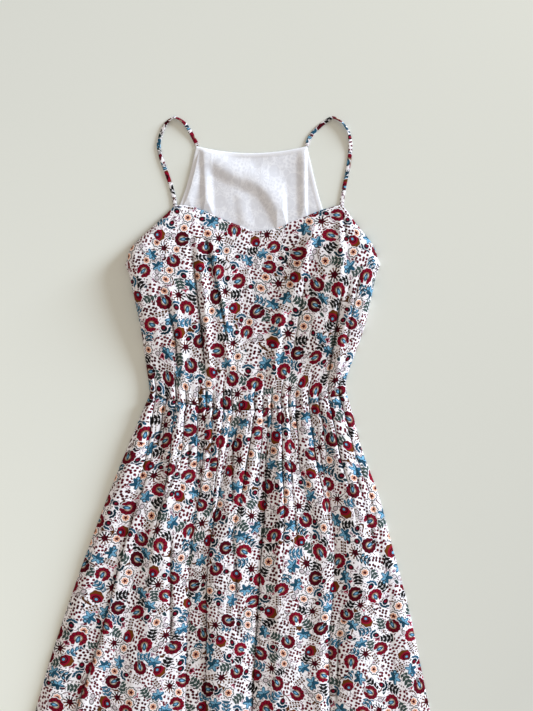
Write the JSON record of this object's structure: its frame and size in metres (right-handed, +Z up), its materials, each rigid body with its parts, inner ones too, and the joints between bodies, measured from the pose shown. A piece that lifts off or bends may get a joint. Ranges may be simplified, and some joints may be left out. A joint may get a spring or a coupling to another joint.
{
  "type": "sundress",
  "caption": "Strappy summer dress in a small flower print, laid flat, with a lined back, a gathered waist and a full skirt in long soft folds.",
  "frame": {"origin": "on the ground, under the middle of the dress's outline seen from above", "axes": "+Y from the hem to the neck, +X to the right seen from above with the neck at the top, +Z up from the ground through the back to the front"},
  "size_m": [0.7348, 1.154, 0.0241],
  "materials": {
    "bodice_front_print": "matt",
    "bodice_back_print": "matt",
    "back_lining_white": "matt",
    "skirt_front_print": "matt",
    "skirt_back_print": "matt",
    "strap_left_print": "matt",
    "strap_right_print": "matt"
  },
  "bodies": {
    "root": {"bodice_front": "bodice_front_print", "bodice_back": "bodice_back_print", "back_lining": "back_lining_white", "skirt_front": "skirt_front_print", "skirt_back": "skirt_back_print", "strap_left": "strap_left_print", "strap_right": "strap_right_print"}
  },
  "joints": []
}
